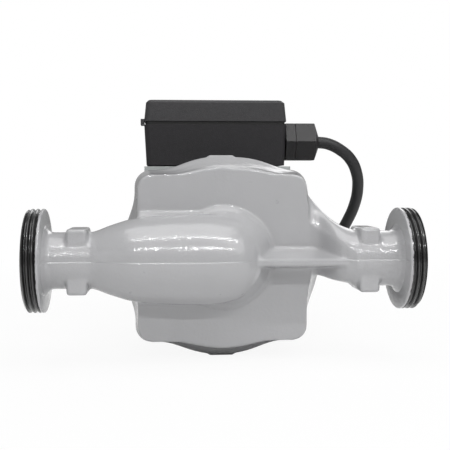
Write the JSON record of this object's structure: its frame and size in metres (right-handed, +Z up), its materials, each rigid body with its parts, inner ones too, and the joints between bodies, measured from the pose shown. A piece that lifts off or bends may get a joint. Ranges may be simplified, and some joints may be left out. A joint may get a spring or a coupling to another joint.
{
  "type": "circulation pump",
  "caption": "Wet-rotor circulation pump with two threaded in-line ports, a finned canned motor, a terminal box with a speed knob, and a coiled mains lead.",
  "frame": {"origin": "ground level under the middle of the pump's own outline, without the lead and its plug", "axes": "+X along the pipe towards the outlet port, +Y along the shaft from the volute to the motor, +Z up"},
  "size_m": [0.18, 0.2989, 0.1293],
  "materials": {
    "casting_paint": "glossy light grey enamel over an as-cast skin",
    "stainless": "bright, lightly brushed",
    "impeller_plastic": "glass-filled moulding",
    "rotor_sleeve": "satin",
    "carbon": "dense carbon, ground",
    "ceramic": "ground and polished",
    "gasket_rubber": "matt black",
    "lamination": "stacked sheet edges",
    "copper": "enamelled wire",
    "motor_alloy": "die-cast, slightly grainy",
    "zinc_steel": "bright zinc",
    "plate_alloy": "satin, bare",
    "brass": "turned",
    "box_plastic": "fine spark-eroded texture",
    "inner_plastic": "natural nylon",
    "capacitor_can": "smooth",
    "switch_plastic": "smooth moulding",
    "core_insulation": "extruded",
    "cable_sheath": "extruded, satin",
    "tie_plastic": "flexible strap",
    "plug_plastic": "moulded, satin",
    "pin_nickel": "nickel plated"
  },
  "bodies": {
    "casing": {"pump_housing": "casting_paint", "neck_ring": "stainless", "bearing_plate": "stainless", "rotor_can": "stainless", "front_bearing": "ceramic", "rear_bearing": "ceramic", "casing_gasket": "gasket_rubber", "box_seal": "gasket_rubber", "gland_seal": "gasket_rubber", "stator_core": "lamination", "stator_windings": "copper", "motor_housing": "motor_alloy", "motor_screws": "zinc_steel", "cover_screws": "zinc_steel", "end_plate": "plate_alloy", "terminal_screws": "brass", "earth_screw": "brass", "terminal_box_base": "box_plastic", "terminal_box_cover": "box_plastic", "gland_body": "box_plastic", "gland_nut": "box_plastic", "cable_clamp": "box_plastic", "terminal_block": "inner_plastic", "capacitor": "capacitor_can", "speed_switch": "switch_plastic", "supply_cores": "core_insulation", "mains_cable": "cable_sheath", "cable_coil": "cable_sheath", "plug_lead": "cable_sheath", "lead_end": "cable_sheath", "coil_tie": "tie_plastic", "plug_body": "plug_plastic", "plug_pins": "pin_nickel"},
    "rotor": {"shaft": "stainless", "rotor_core": "rotor_sleeve", "thrust_ring": "carbon", "impeller": "impeller_plastic", "impeller_clip": "stainless"},
    "selector": {"selector_knob": "switch_plastic"},
    "vent_washer": {"vent_seal": "gasket_rubber"},
    "vent": {"vent_screw": "brass"}
  },
  "joints": [
    {"name": "rotor_spin", "type": "hinge", "parent": "casing", "child": "rotor", "pos_m": [0, 0.0009, 0.0492], "axis": [0, 1, 0], "continuous": true},
    {"name": "selector_turn", "type": "hinge", "parent": "casing", "child": "selector", "pos_m": [0, 0.0659, 0.1062], "axis": [0, 1, 0], "range_deg": [-60, 60]},
    {"name": "vent_lift", "type": "slide", "parent": "casing", "child": "vent_washer", "axis": [0, 1, 0], "range_m": [0, 0.003]},
    {"name": "vent_turn", "type": "hinge", "parent": "vent_washer", "child": "vent", "pos_m": [0, 0.0589, 0.0492], "axis": [0, 1, 0], "range_deg": [-1080, 0]}
  ],
  "couplings": [
    {"joint": "vent_lift", "follows": "vent_turn", "m_per_rad": -0.000159}
  ]
}
